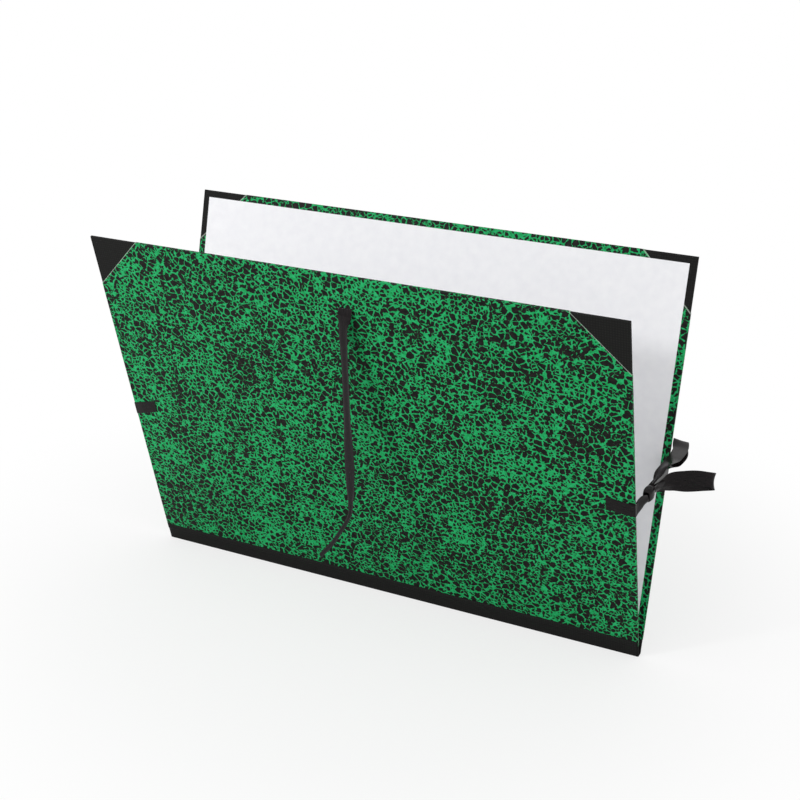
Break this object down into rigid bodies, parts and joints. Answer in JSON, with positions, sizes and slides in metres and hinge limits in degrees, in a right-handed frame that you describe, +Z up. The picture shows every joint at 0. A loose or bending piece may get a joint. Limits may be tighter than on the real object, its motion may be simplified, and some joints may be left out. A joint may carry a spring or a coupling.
{
  "type": "drawing portfolio",
  "caption": "Large hinged carrying folder of two stiff boards in marbled paper, with cloth corners and spine and ribbon ties, standing open.",
  "frame": {"origin": "middle of the spine's underside, on the surface that the portfolio stands on", "axes": "+X along the spine to the right as seen from the front, +Y towards the back cover, +Z up"},
  "size_m": [0.8173, 0.2654, 0.4969],
  "materials": {
    "board": "matte",
    "marbled_paper": "satin",
    "book_cloth": "matte",
    "lining_paper": "matte",
    "ribbon": "satin"
  },
  "bodies": {
    "back_cover": {"back_board": "board", "back_marbled_paper": "marbled_paper", "back_corner_cloth_left": "book_cloth", "back_corner_cloth_right": "book_cloth", "back_lining": "lining_paper", "back_ribbon_top": "ribbon", "back_ribbon_left": "ribbon", "back_ribbon_right": "ribbon", "spine_cloth": "book_cloth", "joint_cloth": "book_cloth"},
    "front_cover": {"front_board": "board", "front_marbled_paper": "marbled_paper", "front_corner_cloth_left": "book_cloth", "front_corner_cloth_right": "book_cloth", "front_lining": "lining_paper", "front_ribbon_top": "ribbon", "front_ribbon_left": "ribbon", "front_ribbon_right": "ribbon", "right_knot": "ribbon", "left_knot": "ribbon"}
  },
  "joints": [
    {"name": "spine_fold", "type": "hinge", "parent": "back_cover", "child": "front_cover", "pos_m": [0, 0, 0.00062], "axis": [1, 0, 0], "range_deg": [-28.8, 0], "deforming": ["spine_cloth", "joint_cloth", "back_ribbon_right", "back_ribbon_left"]}
  ]
}
